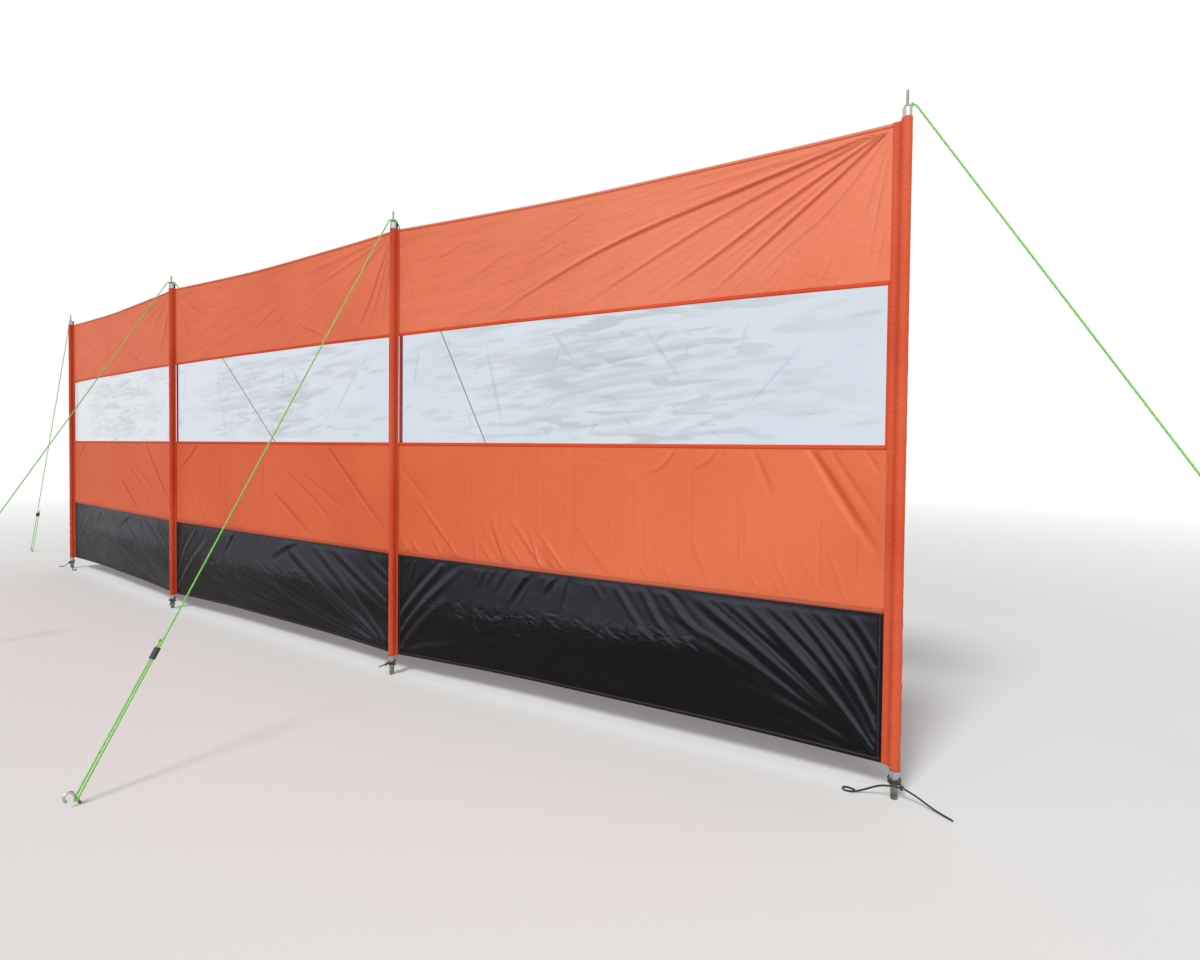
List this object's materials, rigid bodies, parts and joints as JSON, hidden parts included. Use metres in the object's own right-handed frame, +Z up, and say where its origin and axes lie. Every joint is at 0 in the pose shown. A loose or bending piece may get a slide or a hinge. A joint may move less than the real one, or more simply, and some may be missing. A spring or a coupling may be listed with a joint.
{
  "type": "beach windbreak",
  "caption": "Guyed cloth windbreak: bays of orange, clear window and black bands sewn to sleeves on steel poles, pegged with taut ropes.",
  "frame": {"origin": "centre of the right end pole's flat foot, at ground level", "axes": "+X along the row to the right as seen from the front, +Y to the back, +Z up"},
  "size_m": [6.3493, 1.8399, 1.5326],
  "materials": {
    "orange_cloth": "thin coated polyester",
    "sleeve_cloth": "doubled coated polyester",
    "black_cloth": "coated polyester, slight sheen",
    "clear_window": "clear flexible sheet",
    "pole_steel": "plated tube",
    "peg_steel": "plated wire",
    "black_plastic": "moulded",
    "black_webbing": "woven webbing",
    "green_rope": "braided",
    "black_cord": "braided"
  },
  "bodies": {
    "root": {"mud_wall_right": "black_cloth", "lower_band_right": "orange_cloth", "window_right": "clear_window", "upper_band_right": "orange_cloth", "mud_wall_middle": "black_cloth", "lower_band_middle": "orange_cloth", "window_middle": "clear_window", "upper_band_middle": "orange_cloth", "mud_wall_left": "black_cloth", "lower_band_left": "orange_cloth", "window_left": "clear_window", "upper_band_left": "orange_cloth", "sleeve_right_end": "sleeve_cloth", "pole_right_end": "pole_steel", "top_tab_right_end": "black_webbing", "guy_pin_right_end": "pole_steel", "tie_right_end": "black_cord", "sleeve_right_inner": "sleeve_cloth", "pole_right_inner": "pole_steel", "top_tab_right_inner": "black_webbing", "guy_pin_right_inner": "pole_steel", "tie_right_inner": "black_cord", "sleeve_left_inner": "sleeve_cloth", "pole_left_inner": "pole_steel", "top_tab_left_inner": "black_webbing", "guy_pin_left_inner": "pole_steel", "tie_left_inner": "black_cord", "sleeve_left_end": "sleeve_cloth", "pole_left_end": "pole_steel", "top_tab_left_end": "black_webbing", "guy_pin_left_end": "pole_steel", "tie_left_end": "black_cord", "guy_right_end": "green_rope", "peg_right_end": "peg_steel", "guy_right_front": "green_rope", "peg_right_front": "peg_steel", "guy_right_back": "green_rope", "peg_right_back": "peg_steel", "guy_left_front": "green_rope", "peg_left_front": "peg_steel", "guy_left_back": "green_rope", "peg_left_back": "peg_steel", "guy_left_end": "green_rope", "peg_left_end": "peg_steel", "guy_runners": "black_plastic", "tie_right_end_inner_tail": "black_cord", "tie_right_end_outer_tail": "black_cord", "tie_left_end_inner_tail": "black_cord", "tie_left_end_outer_tail": "black_cord"}
  },
  "joints": []
}
